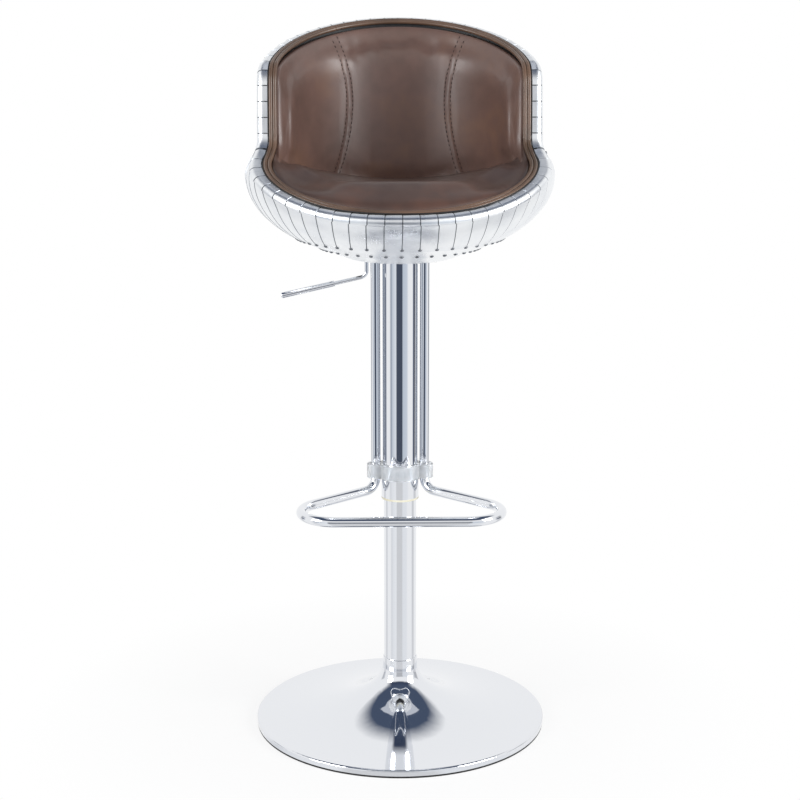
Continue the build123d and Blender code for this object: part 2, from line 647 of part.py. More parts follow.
def lever_group():
    """The bent lever, the chrome sleeve at its tip, and its pivot."""
    path = lever_path()
    across = Pos(-LEVER_PIVOT, 0, LEVER_HEIGHT) * Rot(90, 0, 0)
    eye = across * Cylinder(LEVER_EYE_DIAMETER / 2, LEVER_EYE_WIDTH)
    lever = bent_bar(path, LEVER_DIAMETER / 2) + eye - lever_axis(LEVER_PIVOT_PIN / 2 + RUNNING)
    along = path % 1
    grip_end = path @ 1 + along * LEVER_DIAMETER / 2
    grip = Plane(grip_end, z_dir=-along) * Cylinder(
        GRIP_DIAMETER / 2, GRIP_LENGTH, align=(Align.CENTER, Align.CENTER, Align.MIN)
    )
    grip = fillet(grip.edges().sort_by(Axis.X)[0], GRIP_DIAMETER / 4)
    write("lever", lever)
    write("lever_grip", grip - bent_bar(path, LEVER_DIAMETER / 2))
    write("lever_bracket", lever_bracket())
    write("lever_pivot", lever_axis(LEVER_PIVOT_PIN / 2))


os.makedirs("parts", exist_ok=True)
base_group()
write("neck_ring", neck_ring())
pole_group()
lift_rod_group()
spring_group()
column_cover_group()
write("footrest", footrest())
write("clamp_band", clamp_band())
shell_group()
upholstery_group()
plate_group()
lever_group()
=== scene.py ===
import bisect
import math

import bmesh
import bpy
from bpy.props import FloatProperty, IntProperty, PointerProperty, StringProperty
from mathutils import Matrix, Vector
from mathutils.bvhtree import BVHTree
from mathutils.kdtree import KDTree


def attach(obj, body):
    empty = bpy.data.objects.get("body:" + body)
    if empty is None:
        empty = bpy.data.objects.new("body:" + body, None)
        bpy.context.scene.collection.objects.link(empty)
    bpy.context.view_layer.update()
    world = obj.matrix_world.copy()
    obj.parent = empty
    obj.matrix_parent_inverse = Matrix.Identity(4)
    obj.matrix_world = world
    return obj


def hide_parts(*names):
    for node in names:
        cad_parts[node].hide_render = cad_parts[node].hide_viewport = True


bl_info = {
    "name": "Riveted bucket bar stool",
    "version": (1, 0, 0),
    "blender": (4, 5, 0),
    "location": "View3D > Sidebar > Stool",
    "description": "Dresses the packed bar stool in leather, riveted aluminium and chrome",
    "category": "Object",
}

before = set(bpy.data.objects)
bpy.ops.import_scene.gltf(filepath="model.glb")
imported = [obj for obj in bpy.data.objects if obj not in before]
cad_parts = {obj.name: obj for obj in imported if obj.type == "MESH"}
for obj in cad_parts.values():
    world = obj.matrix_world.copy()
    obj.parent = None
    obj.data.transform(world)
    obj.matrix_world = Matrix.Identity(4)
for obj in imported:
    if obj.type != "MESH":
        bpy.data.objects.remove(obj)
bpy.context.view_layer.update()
MM = 0.001

# The bucket's outline, in millimetres, as the CAD solids have it
BOWL_RADIUS = 226.0
BOWL_DEPTH = 124.0
BOWL_WIDEST = 858.0
BACK_RADIUS = 208.0
SHOULDER_TOP = 906.0
SHELL_WALL = 18.0
SKIN = 1.0
SKIN_CLEAR = 0.2
RIM_ROUND = 8.0
RIM_POINTS = ((-290.0, 820.0), (-190.0, 820.0), (-5.0, 896.0), (10.0, 1010.0), (290.0, 1111.8))
RIM_RADII = (120.0, 30.0, 35.0)
RIM_STEP = 0.1
RIM_SPACING = 1.5
BUCKET_HEART = Vector((0.0, 0.0, 900.0))


# Curves of the bucket
def smooth(value, low, high):
    """0 below low, 1 above high, and an S-curve between."""
    share = min(1.0, max(0.0, (value - low) / (high - low)))
    return share * share * (3.0 - 2.0 * share)


def wall_radius(z, inset=0.0):
    """The bucket's outside radius at a height, less an inset: bowl, S-shaped shoulder, straight back."""
    wide = BOWL_RADIUS - inset
    back = BACK_RADIUS - inset
    if z <= BOWL_WIDEST:
        share = min(1.0, (BOWL_WIDEST - z) / (BOWL_DEPTH - inset))
        return wide * math.sqrt(1.0 - share * share)
    if z >= SHOULDER_TOP:
        return back
    rise, step = SHOULDER_TOP - BOWL_WIDEST, wide - back
    bend = (rise * rise + step * step) / (4.0 * step)
    if z <= (BOWL_WIDEST + SHOULDER_TOP) / 2:
        return wide - bend + math.sqrt(bend * bend - (z - BOWL_WIDEST) ** 2)
    return back + bend - math.sqrt(bend * bend - (SHOULDER_TOP - z) ** 2)


def rounded_line(points, radii, step):
    """A line through 2D points with its corners rounded, as points about one step apart."""
    corners = [Vector(p) for p in points]
    runs = [corners[0]]
    for before, corner, after, radius in zip(corners, corners[1:], corners[2:], radii):
        into = (corner - before).normalized()
        out = (after - corner).normalized()
        turn = into.angle_signed(out)
        reach = radius * math.tan(abs(turn) / 2)
        start = corner - into * reach
        side = Vector((into.y, -into.x)) * (1.0 if turn > 0 else -1.0)
        centre = start + side * radius
        count = max(2, int(abs(turn) * radius / step))
        for i in range(count + 1):
            spoke = (start - centre).copy()
            spoke.rotate(Matrix.Rotation(-turn * i / count, 2))
            runs.append(centre + spoke)
    runs.append(corners[-1])
    line = []
    for a, b in zip(runs, runs[1:]):
        count = max(1, int((b - a).length / step))
        line += [a.lerp(b, i / count) for i in range(count)]
    return line + [runs[-1]]


RIM_LINE = rounded_line(RIM_POINTS, RIM_RADII, RIM_STEP)
MIDDLE = Vector((0.0, 1.0, 1.0))


class RimPoint:
    """A place on the rim, and which way the rim's face, the wall and the inside lie from it."""

    def __init__(self, place, face, wall):
        self.place = place
        self.face = face.normalized()
        self.wall = wall.normalized()
        self.inward = -(self.wall - self.face * self.wall.dot(self.face)).normalized()

    def mix(self, other, share):
        """A point between this one and another."""
        return RimPoint(
            self.place.lerp(other.place, share),
            self.face.lerp(other.face, share),
            self.wall.lerp(other.wall, share),
        )

    def centred(self):
        """The same point moved sideways to the middle of the stool."""
        return RimPoint(self.place * MIDDLE, self.face, self.wall * MIDDLE)


def rim_half(side, inset):
    """The rim from the middle of the front to the middle of the back, on one side."""
    found = []
    for here, ahead in zip(RIM_LINE, RIM_LINE[1:]):
        radius = wall_radius(here.y, inset)
        if abs(here.x) >= radius:
            continue
        place = Vector((side * math.sqrt(radius ** 2 - here.x ** 2), here.x, here.y))
        if found and (place - found[-1].place).length < RIM_SPACING:
            continue
        along = ahead - here
        slope = wall_radius(here.y + 0.5, inset) - wall_radius(here.y - 0.5, inset)
        wall = Vector((place.x, place.y, 0.0)).normalized() - Vector((0.0, 0.0, slope))
        found.append(RimPoint(place, Vector((0.0, -along.y, along.x)), wall))
    return [found[0].centred()] + found + [found[-1].centred()]


def rim_loop(inset, ahead_of=None, behind=None):
    """The rim from the middle of the front round by the right, or its part ahead of or behind a line."""
    right, left = rim_half(1.0, inset), rim_half(-1.0, inset)[::-1]
    if ahead_of is not None:
        keep = [p for p in left if p.place.y < ahead_of][:-1]
        return keep + [p for p in right if p.place.y < ahead_of]
    if behind is not None:
        keep = [p for p in right if p.place.y > behind][:-1]
        return keep + [p for p in left if p.place.y > behind]
    return right[:-1] + left[:-1]


class Track:
    """Points that can be asked for by a rising key, such as the angle or the distance walked."""

    def __init__(self, points, keys):
        self.points = points
        self.keys = keys

    def at(self, key):
        """The points on both sides of a key, and how far between them it lies."""
        after = min(max(bisect.bisect_right(self.keys, key), 1), len(self.keys) - 1)
        low, high = self.keys[after - 1], self.keys[after]
        share = min(1.0, max(0.0, (key - low) / (high - low)))
        return self.points[after - 1], self.points[after], share


def walked(places):
    """The distance to each of a row of places, from the first."""
    found = [0.0]
    for a, b in zip(places, places[1:]):
        found.append(found[-1] + (b - a).length)
    return found


def even(places, spacing, closed=False):
    """Places along a line at an even spacing."""
    line = places + places[:1] if closed else places
    track = Track(line, walked(line))
    length = track.keys[-1]
    count = max(2, round(length / spacing))
    found = []
    for i in range(count if closed else count + 1):
        a, b, share = track.at(length * i / count)
        found.append(a.lerp(b, share))
    return found


# Meshes
def new_object(name, data):
    """A new object in the scene."""
    made = bpy.data.objects.new(name, data)
    bpy.context.scene.collection.objects.link(made)
    return made


def new_mesh(name, bm):
    """A mesh of a bmesh, which is freed."""
    mesh = bpy.data.meshes.new(name)
    bm.to_mesh(mesh)
    bm.free()
    return mesh


def new_piece(name, bm, material):
    """A finished piece at the origin that rides on the seat. Its mesh is in millimetres until here."""
    mesh = new_mesh(name, bm)
    mesh.transform(Matrix.Scale(MM, 4))
    mesh.materials.append(material)
    mesh.shade_smooth()
    piece = new_object(name, mesh)
    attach(piece, "seat")
    return piece


def grid_sheet(columns, rows, place, heart):
    """A grid that runs over 0 to 1 both ways, put where place(u, v) says, and faces away from a point."""
    bm = bmesh.new()
    bmesh.ops.create_grid(bm, x_segments=columns, y_segments=rows, size=0.5)
    uv = bm.loops.layers.uv.new("along")
    shares = {}
    for vert in bm.verts:
        shares[vert] = (vert.co.x + 0.5, vert.co.y + 0.5)
        vert.co = place(*shares[vert])
    for face in bm.faces:
        for loop in face.loops:
            loop[uv].uv = shares[loop.vert]
    bm.normal_update()
    if sum(face.normal.dot(face.calc_center_median() - heart) for face in bm.faces) < 0.0:
        bmesh.ops.reverse_faces(bm, faces=bm.faces)
    return bm


def add_ball(bm, grid, matrix):
    """Adds a ball of radius 1 with so many segments and rings, stretched and placed by a matrix."""
    bmesh.ops.create_uvsphere(bm, u_segments=grid[0], v_segments=grid[1], radius=1.0, matrix=matrix)


def join(target, extra):
    """Adds one bmesh to another and frees it."""
    mesh = new_mesh("part", extra)
    target.from_mesh(mesh)
    bpy.data.meshes.remove(mesh)


# Materials
def hex_colour(code):
    """A linear colour from an sRGB hex code."""
    parts = [int(code.lstrip("#")[i:i + 2], 16) / 255.0 for i in (0, 2, 4)]
    linear = [c / 12.92 if c <= 0.04045 else ((c + 0.055) / 1.055) ** 2.4 for c in parts]
    return (*linear, 1.0)


def wire(tree, node, inputs=None, links=None):
    """Sets a node's fixed inputs and its links, which come from a socket or from a node's first output."""
    for key, value in (inputs or {}).items():
        node.inputs[key].default_value = value
    for key, source in (links or {}).items():
        if isinstance(source, bpy.types.Node):
            source = next(socket for socket in source.outputs if socket.enabled)
        tree.links.new(source, node.inputs[key])


def add_node(tree, kind, inputs=None, links=None, stops=(), **settings):
    """One node with its settings, its fixed inputs, its links and, on a colour ramp, its stops."""
    node = tree.nodes.new(kind)
    for name, value in settings.items():
        setattr(node, name, value)
    for i, (place, code) in enumerate(stops):
        spots = node.color_ramp.elements
        spot = spots[i] if i < len(spots) else spots.new(place)
        spot.position = place
        spot.color = hex_colour(code)
    wire(tree, node, inputs, links)
    return node


def new_material(name):
    """A material with its Principled shader joined to the output, and the object's own coordinates."""
    material = bpy.data.materials.new(name)
    material.use_nodes = True
    tree = material.node_tree
    tree.nodes.clear()
    shader = add_node(tree, "ShaderNodeBsdfPrincipled")
    add_node(tree, "ShaderNodeOutputMaterial", links={"Surface": shader})
    return material, tree, shader, add_node(tree, "ShaderNodeTexCoord").outputs["Object"]


def per_metre(size_mm):
    """A texture scale whose features are about this many millimetres across."""
    return 1.0 / (size_mm * MM)


def chrome_plate(colour):
    """Bright chrome on steel: a near mirror with a faint haze that breaks up the reflections."""
    material, tree, shader, place = new_material("bright_chrome_plate")
    haze = add_node(
        tree, "ShaderNodeTexNoise", {"Scale": per_metre(60.0), "Detail": 4.0}, {"Vector": place}
    )
    rough = add_node(tree, "ShaderNodeMapRange", {"To Min": 0.025, "To Max": 0.07}, {"Value": haze})
    wire(tree, shader, {"Base Color": hex_colour(colour), "Metallic": 1.0}, {"Roughness": rough})
    return material


def polished_aluminium(name, colour, dull, edge_shade):
    """Rolled, hand-polished aluminium: bright, with fine streaks along each strip, and each strip's long
    edges darkened as painted shade for the seams between strips.
    """
    material, tree, shader, place = new_material(name)
    uv = add_node(tree, "ShaderNodeUVMap", uv_map="along")
    stretch = add_node(tree, "ShaderNodeMapping", {"Scale": (20.0, 0.6, 1.0)}, {"Vector": uv})
    streak = add_node(tree, "ShaderNodeTexNoise", {"Scale": 6.0, "Detail": 5.0}, {"Vector": stretch})
    cloud = add_node(
        tree, "ShaderNodeTexNoise", {"Scale": per_metre(35.0), "Detail": 3.0}, {"Vector": place}
    )
    blend = add_node(tree, "ShaderNodeMath", None, {0: streak, 1: cloud}, operation="MULTIPLY")
    rough = add_node(tree, "ShaderNodeMapRange", {"To Min": 0.24, "To Max": 0.46}, {"Value": blend})
    tone = add_node(tree, "ShaderNodeValToRGB", None, {"Fac": cloud}, [(0.3, dull), (0.65, colour)])
    bump = add_node(tree, "ShaderNodeBump", {"Strength": 0.05, "Distance": 0.3 * MM}, {"Height": streak})
    # Near its two long edges each strip takes the edge colour: painted shade that darkens the seams.
    across = add_node(tree, "ShaderNodeSeparateXYZ", None, {"Vector": uv}).outputs["X"]
    inside = add_node(tree, "ShaderNodeMath", {1: 0.5, 2: 0.25}, {0: across}, operation="COMPARE")
    shade = add_node(
        tree, "ShaderNodeMix", {"A": hex_colour(edge_shade)}, {"Factor": inside, "B": tone}, data_type="RGBA"
    )
    wire(tree, shader, {"Metallic": 1.0}, {"Base Color": shade, "Roughness": rough, "Normal": bump})
    return material


def waxed_leather(name, dark, body, worn, grain_mm):
    """Pull-up leather: waxed and buffed, with broad dark and red-brown clouds and a fine pore."""
    material, tree, shader, place = new_material(name)
    cloud = add_node(
        tree, "ShaderNodeTexNoise", {"Scale": per_metre(120.0), "Detail": 3.0, "Roughness": 0.5},
        {"Vector": place},
    )
    mottle = add_node(
        tree, "ShaderNodeTexNoise", {"Scale": per_metre(18.0), "Detail": 5.0}, {"Vector": place}
    )
    patina = add_node(tree, "ShaderNodeMath", {1: 0.3}, {0: mottle, 2: cloud}, operation="MULTIPLY_ADD")
    spread = add_node(tree, "ShaderNodeMapRange", {"From Min": 0.4, "From Max": 0.9}, {"Value": patina})
    tone = add_node(
        tree, "ShaderNodeValToRGB", None, {"Fac": spread}, [(0.1, dark), (0.5, body), (0.9, worn)]
    )
    grain = add_node(
        tree, "ShaderNodeTexVoronoi", {"Scale": per_metre(grain_mm)}, {"Vector": place},
        feature="DISTANCE_TO_EDGE",
    )
    crease = add_node(
        tree, "ShaderNodeTexNoise", {"Scale": per_metre(30.0), "Detail": 6.0, "Distortion": 0.8},
        {"Vector": place},
    )
    pores = add_node(tree, "ShaderNodeBump", {"Strength": 0.2, "Distance": 0.25 * MM}, {"Height": grain})
    folds = add_node(
        tree, "ShaderNodeBump", {"Strength": 0.12, "Distance": 1.2 * MM},
        {"Height": crease, "Normal": pores},
    )
    rough = add_node(tree, "ShaderNodeMapRange", {"To Min": 0.32, "To Max": 0.46}, {"Value": mottle})
    wire(tree, shader, {"Coat Weight": 0.18, "Coat Roughness": 0.22}, {
        "Base Color": tone,
        "Roughness": rough,
        "Normal": folds,
    })
    return material


def plain_finish(name, colour, dull, roughness, metallic=0.0, patch_mm=20.0):
    """Cast, painted or moulded stock: one colour with faint blotches and an uneven gloss."""
    material, tree, shader, place = new_material(name)
    blotch = add_node(
        tree, "ShaderNodeTexNoise", {"Scale": per_metre(patch_mm), "Detail": 4.0}, {"Vector": place}
    )
    tone = add_node(tree, "ShaderNodeValToRGB", None, {"Fac": blotch}, [(0.35, dull), (0.65, colour)])
    spread = {"To Min": roughness * 0.8, "To Max": min(1.0, roughness * 1.2)}
    rough = add_node(tree, "ShaderNodeMapRange", spread, {"Value": blotch})
    wire(tree, shader, {"Metallic": metallic}, {"Base Color": tone, "Roughness": rough})
    return material


def milky_plastic(colour, dull):
    """Clear moulding gone milky: pale and glossy, with the tubes that it ties showing through."""
    material = plain_finish("milky_clear_moulding", colour, dull, 0.18, patch_mm=8.0)
    shader = next(n for n in material.node_tree.nodes if n.type == "BSDF_PRINCIPLED")
    wire(material.node_tree, shader, {"Transmission Weight": 0.7, "IOR": 1.49})
    return material


# Settings
class StoolSizes(bpy.types.PropertyGroup):
    """Sizes a user would change, in metres unless a name says otherwise."""

    strip_count: IntProperty(
        name="Bowl strips", description="Aluminium strips round the bowl", default=52, min=12,
    )
    strip_width: FloatProperty(
        name="Back strip width", description="Width of a strip along the rim of the back",
        default=0.023, min=0.01, unit="LENGTH",
    )
    strip_reach: FloatProperty(
        name="Back strip reach", description="How far a strip comes down from the rim of the back",
        default=0.062, min=0.02, unit="LENGTH",
    )
    rivet_radius: FloatProperty(
        name="Rivet radius", description="Radius of a rivet's head", default=0.0031, min=0.001,
        unit="LENGTH",
    )
    welt_cord: FloatProperty(
        name="Welt cord", description="Diameter of each of the welt's two cords", default=0.0064,
        unit="LENGTH",
    )
    stitch_pitch: FloatProperty(
        name="Stitch pitch", description="From one stitch to the next", default=0.0068, unit="LENGTH",
    )


def tint(name, description, code):
    """A colour setting."""
    return StringProperty(name=name, description=description, default=code)


class StoolColours(bpy.types.PropertyGroup):
    """Finish colours as sRGB hex codes."""

    leather: tint("Leather", "Body colour of the back", "#674F47")
    leather_dark: tint("Leather, dark", "Its dark clouds", "#5A463F")
    leather_worn: tint("Leather, worn", "Its red clouds", "#725648")
    # The seat's three colours are the back's leather made darker: painted shade, as the same leather gets
    # less light on the seat.
    seat: tint("Seat", "Body colour of the seat", "#4E3B34")
    seat_shaded_dark: tint("Seat, dark", "Its dark clouds", "#43322D")
    seat_shaded_worn: tint("Seat, worn", "Its red clouds", "#5E4237")
    welt: tint("Welt", "Body colour of the welt", "#634C3D")
    welt_dark: tint("Welt, dark", "Its creases", "#4C3A2C")
    welt_worn: tint("Welt, worn", "Where it is rubbed", "#735846")
    aluminium: tint("Aluminium", "Colour of the strips", "#F1F3F5")
    aluminium_dull: tint("Aluminium, dull", "Its patches", "#E4E7EB")
    chrome: tint("Chrome", "Colour of the chrome", "#E6E8EC")
    nylon: tint("Nylon", "Colour of the bushes", "#E8E4D0")


def sizes():
    """The stool's sizes."""
    return bpy.context.scene.stool_sizes


def colours():
    """The stool's finish colours."""
    return bpy.context.scene.stool_colours


def dress(nodes, material):
    """Gives CAD nodes a material."""
    for name in nodes:
        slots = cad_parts[name].data.materials
        slots.clear()
        slots.append(material)


# Chrome and hidden metal
CHROME_NODES = (
    "base_cover", "neck_ring", "pole", "cover_tube", "guide_sleeve", "footrest", "lever", "lever_grip",
)
NYLON_NODES = ("guide_bush", "sleeve_bush", "piston", "ball_cage", "rod_gland")
BLACK_NODES = ("pole_flange", "gas_cylinder", "seat_plate", "taper_hub", "lever_bracket")
STEEL_NODES = (
    "flange_bolts", "bearing_seat", "lower_race", "upper_race", "lift_rod", "rod_clip", "rod_shoulder",
    "bearing_balls", "valve_pin", "plate_screws", "lever_pivot",
)


class STOOL_OT_metalwork(bpy.types.Operator):
    """Finishes the chromed tubes and the fittings that the solids already have in full"""

    bl_idname = "stool.metalwork"
    bl_label = "Metalwork"

    def execute(self, context):
        dress(CHROME_NODES, chrome_plate(colours().chrome))
        dress(NYLON_NODES, plain_finish("cream_nylon", colours().nylon, "#D8D2B8", 0.42))
        dress(BLACK_NODES, plain_finish("black_powder_coat", "#1A1A1C", "#111113", 0.45, patch_mm=3.0))
        dress(STEEL_NODES, plain_finish("zinc_plated_steel", "#B9BAB6", "#9C9D99", 0.32, metallic=1.0))
        dress(("ballast_disc",), plain_finish("sand_cast_iron", "#34363A", "#222327", 0.75, patch_mm=4.0))
        dress(("floor_ring",), plain_finish("moulded_rubber", "#1B1B1C", "#131314", 0.7, patch_mm=6.0))
        dress(("bucket_shell",), plain_finish("fibre_moulding", "#2E2E30", "#232325", 0.6, patch_mm=9.0))
        dress(("seat_board",), plain_finish("raw_plywood", "#C9A878", "#AA8656", 0.65, patch_mm=12.0))
        dress(("clamp_band",), milky_plastic("#F7F9FB", "#EBEFF3"))
        return {"FINISHED"}


# Aluminium strips
STRIP_GAP = 0.8
STRIP_LIFT = 0.3
STRIP_LAP = 0.3
STRIP_EDGE_DROP = 0.6
STRIP_ACROSS = (0.0, 0.014, 0.5, 0.986, 1.0)
STRIP_CREASE = math.radians(30.0)
STRIP_ROWS = 56
BOWL_ROLL_SHARE = 0.3
BACK_ROLL_SHARE = 0.4
STRIP_TUCK = 9.0
TUCK_SHARE = 0.3
RIM_STRIP_LIFT = 0.4
BOWL_END_RADIUS = 148.0
BOWL_FLOOR_RADIUS = 75.0
LOWER_RIVETS_RADIUS = 120.0
MERIDIAN_TURNS = 160
SHEET_UNDERLAP = 4.0
SHEET_GRID = (144, 16)
SHEET_LIFT = 0.12
SHEET_LIP = 4.8
SHEET_LIP_RADIUS = 114.0
RIVET_FROM_END = 7.0
RIVET_DOME = 0.6
RIVET_GRID = (8, 6)
REAR_STRIP_BELOW_RIM = 12.0
NOTCH_FORWARD = 6.0
NOTCH_REACH = 20.0
CORNER_CLOSING = 0.8
CORNER_EXTRA = 6.0
REACH_SPREAD = 14
EDGE_MARGIN = math.radians(4.0)
SKIN_FACE = SKIN_CLEAR + SKIN
# Colour of the strips' long edges: painted shade that darkens the seams between strips.
SEAM_EDGE_SHADE = "#8A8F96"
STRIP_KEEP = 0.96
STRIP_SPREAD_MOST = 0.6


def meridian_line():
    """The bucket's outside section from the top of the back down to the floor, as radius and height."""
    top = RIM_POINTS[-1][1]
    steps = int((top - BOWL_WIDEST) / RIM_SPACING) + 1
    heights = [top - RIM_SPACING * i for i in range(steps)]
    line = [Vector((wall_radius(z), z)) for z in heights]
    last = math.acos(BOWL_FLOOR_RADIUS / BOWL_RADIUS)
    for i in range(MERIDIAN_TURNS + 1):
        angle = last * i / MERIDIAN_TURNS
        line.append(Vector((BOWL_RADIUS * math.cos(angle), BOWL_WIDEST - BOWL_DEPTH * math.sin(angle))))
    return line


MERIDIAN = meridian_line()
MERIDIAN_DOWN = walked(MERIDIAN)
BY_DOWN = Track(MERIDIAN, MERIDIAN_DOWN)
BY_DEPTH = Track(MERIDIAN_DOWN, [-p.y for p in MERIDIAN])


def down_to(height):
    """How far down the section a height lies."""
    a, b, share = BY_DEPTH.at(-height)
    return a + (b - a) * share


def down_to_radius(radius):
    """How far down the section the bowl narrows to a radius."""
    return down_to(BOWL_WIDEST - BOWL_DEPTH * math.sqrt(1.0 - (radius / BOWL_RADIUS) ** 2))


def on_skin(down, angle, lift):
    """A point on the skin, some way down its section and round the column, lifted off it."""
    a, b, share = BY_DOWN.at(down)
    step = (b - a).normalized()
    spot = a.lerp(b, share)
    if b.y < BOWL_WIDEST:
        spread = min(STRIP_SPREAD_MOST, max(0.0, STRIP_KEEP * BOWL_RADIUS / spot.x - 1.0))
        angle -= spread * math.sin(2.0 * angle) / 2.0
    spot += Vector((-step.y, step.x)) * (SKIN_FACE + lift)
    return Vector((spot.x * math.cos(angle), spot.x * math.sin(angle), spot.y))


def roll_point(rim, share, lift):
    """A point over the rolled rim: 0 is tucked in beside the welt, 1 is where the roll meets the wall."""
    centre = rim.place - (rim.wall + rim.face) * (RIM_ROUND / (1.0 + rim.wall.dot(rim.face)))
    reach = RIM_ROUND + SKIN_FACE + lift
    if share < TUCK_SHARE:
        return centre + rim.face * reach + rim.inward * (STRIP_TUCK * (1.0 - share / TUCK_SHARE))
    turn = rim.face.angle(rim.wall) * (share - TUCK_SHARE) / (1.0 - TUCK_SHARE)
    spoke = rim.face.copy()
    spoke.rotate(Matrix.Rotation(turn, 3, rim.face.cross(rim.wall).normalized()))
    return centre + spoke * reach


def below_rim(rim, down, lift):
    """A point on the outside of the back, square to the rim and some way from it."""
    way = (-rim.face + rim.wall * rim.face.dot(rim.wall)).normalized()
    turn = math.atan2(rim.place.y, rim.place.x)
    around = Vector((-math.sin(turn), math.cos(turn), 0.0))
    z = rim.place.z + way.z * down
    radius = wall_radius(max(BOWL_WIDEST, z)) + SKIN_FACE + lift
    angle = turn + way.dot(around) * down / radius
    return Vector((radius * math.cos(angle), radius * math.sin(angle), z))


def strip_sheet(width, place):
    """One strip: place(share across, share along, lift) gives its points. It laps the next one."""
    def edged(u, v):
        step = round(u * (len(STRIP_ACROSS) - 1))
        margin = STRIP_GAP / 2 / width
        across = margin + (1.0 - 2.0 * margin) * STRIP_ACROSS[step]
        edge = step in (0, len(STRIP_ACROSS) - 1)
        return place(across, v, STRIP_LIFT + STRIP_LAP * across - (STRIP_EDGE_DROP if edge else 0.0))
    return grid_sheet(len(STRIP_ACROSS) - 1, STRIP_ROWS, edged, BUCKET_HEART)


class STOOL_OT_skin(bpy.types.Operator):
    """Lays the lapped aluminium strips over the bowl, the rim and the back, and sets their rivets"""

    bl_idname = "stool.skin"
    bl_label = "Aluminium skin"

    def execute(self, context):
        bright, dull = colours().aluminium, colours().aluminium_dull
        # The strips take painted seam shade along their edges; the plain sheet keeps its own colour there.
        metal = polished_aluminium("polished_aluminium_strip", bright, dull, SEAM_EDGE_SHADE)
        sheet = polished_aluminium("polished_aluminium_sheet", bright, dull, bright)
        notch = RIM_POINTS[2][0] - NOTCH_FORWARD
        front = rim_loop(0.0, ahead_of=notch)
        front = Track(front, [math.atan2(p.place.y, p.place.x) for p in front])
        rear = rim_loop(0.0, behind=notch)
        rivets = []
        strips = [
            new_piece("bowl_strips", self.bowl_strips(front, rear, rivets), metal),
            new_piece("back_rim_strips", self.rim_strips(rear, rivets), metal),
        ]
        for piece in strips:
            piece.data.set_sharp_from_angle(angle=STRIP_CREASE)
        new_piece("bowl_bottom_sheet", self.bottom_sheet(), sheet)
        # Steel rivets, their colour darkened as painted shade for the dark hollow round each head.
        steel = plain_finish("rivet_steel_and_painted_shade", "#8A8D92", "#5E6166", 0.3, metallic=1.0, patch_mm=2.0)
        new_piece("skin_rivets", self.rivet_heads(rivets), steel)
        # The skin under the strips is darker aluminium: painted shade that shows through the gaps as the
        # shadow of the laps.
        under = plain_finish("painted_lap_shade_skin", "#92969C", "#787C82", 0.5, metallic=1.0, patch_mm=15.0)
        dress(("aluminium_skin",), under)
        return {"FINISHED"}

    def bowl_strips(self, front, rear, rivets):
        """Strips that run down the bowl all the way round, from the rim in front and under it behind."""
        whole = bmesh.new()
        end = down_to_radius(BOWL_END_RADIUS)
        lower = down_to_radius(LOWER_RIVETS_RADIUS)
        half = rear[:len(rear) // 2]
        back_edge = Track(half, [math.atan2(p.place.y, abs(p.place.x)) for p in half])
        first, last = front.keys[0], front.keys[-1]
        ahead = sizes().strip_count // 2
        arcs = (
            (self.front_place, front, first, last - first, ahead),
            (self.rear_place, back_edge, last, 2.0 * math.pi + first - last, sizes().strip_count - ahead),
        )
        for make, edge, start, span, count in arcs:
            wide = span / count
            for i in range(count):
                low = start + wide * i
                join(whole, strip_sheet(wide * BOWL_RADIUS, make(edge, low, wide, end)))
                for down in (end - RIVET_FROM_END, lower):
                    rivets.append([on_skin(down, low, STRIP_LIFT + more) for more in (0.0, 1.0)])
        return whole

    def bottom_sheet(self):
        """The plain dished sheet under the strips' ends, which comes down over the seat plate's edge."""
        top = down_to_radius(BOWL_END_RADIUS + SHEET_UNDERLAP)
        foot = down_to_radius(BOWL_FLOOR_RADIUS)

        def place(u, v):
            spot = on_skin(top + (foot - top) * v, 2.0 * math.pi * u, SHEET_LIFT)
            spot.z -= SHEET_LIP * smooth(spot.xy.length, SHEET_LIP_RADIUS, BOWL_FLOOR_RADIUS)
            return spot

        bm = grid_sheet(*SHEET_GRID, place, BUCKET_HEART)
        bmesh.ops.remove_doubles(bm, verts=bm.verts, dist=0.01)
        return bm

    def front_place(self, front, low, wide, end):
        """Where a front strip's points go: over the rolled rim, then down the bowl."""
        def place(u, v, lift):
            angle = low + wide * u
            a, b, share = front.at(angle)
            rim = a.mix(b, share)
            if v < BOWL_ROLL_SHARE:
                return roll_point(rim, v / BOWL_ROLL_SHARE, lift)
            start = down_to(roll_point(rim, 1.0, -SKIN_FACE).z)
            along = (v - BOWL_ROLL_SHARE) / (1.0 - BOWL_ROLL_SHARE)
            return on_skin(start + (end - start) * along, angle, lift)
        return place

    def rear_place(self, back_edge, low, wide, end):
        """Where a rear strip's points go: from under the back's own strips down the bowl."""
        starts = []
        for turn in (low, low + wide):
            from_side = math.atan2(math.sin(turn), abs(math.cos(turn)))
            a, b, share = back_edge.at(from_side - EDGE_MARGIN)
            starts.append(down_to(a.mix(b, share).place.z - REAR_STRIP_BELOW_RIM))
        start = max(starts)

        def place(u, v, lift):
            return on_skin(start + (end - start) * v, low + wide * u, lift)
        return place

    def rim_strips(self, rear, rivets):
        """Strips folded over the rim of the back, square to it, each held by a rivet at its end."""
        whole = bmesh.new()
        track = Track(rear, walked([p.place for p in rear]))
        reaches = self.reaches(rear, track.keys)
        count = round(track.keys[-1] * MM / sizes().strip_width)
        wide = track.keys[-1] / count
        for i in range(count):
            join(whole, strip_sheet(wide, self.rim_place(track, reaches, wide * i, wide)))
            a, b, share = track.at(wide * i)
            low, high, _ = reaches.at(wide * i)
            rim, down = a.mix(b, share), low + (high - low) * share - RIVET_FROM_END
            lift = RIM_STRIP_LIFT + STRIP_LIFT
            rivets.append([below_rim(rim, down, lift + more) for more in (0.0, 1.0)])
        return whole

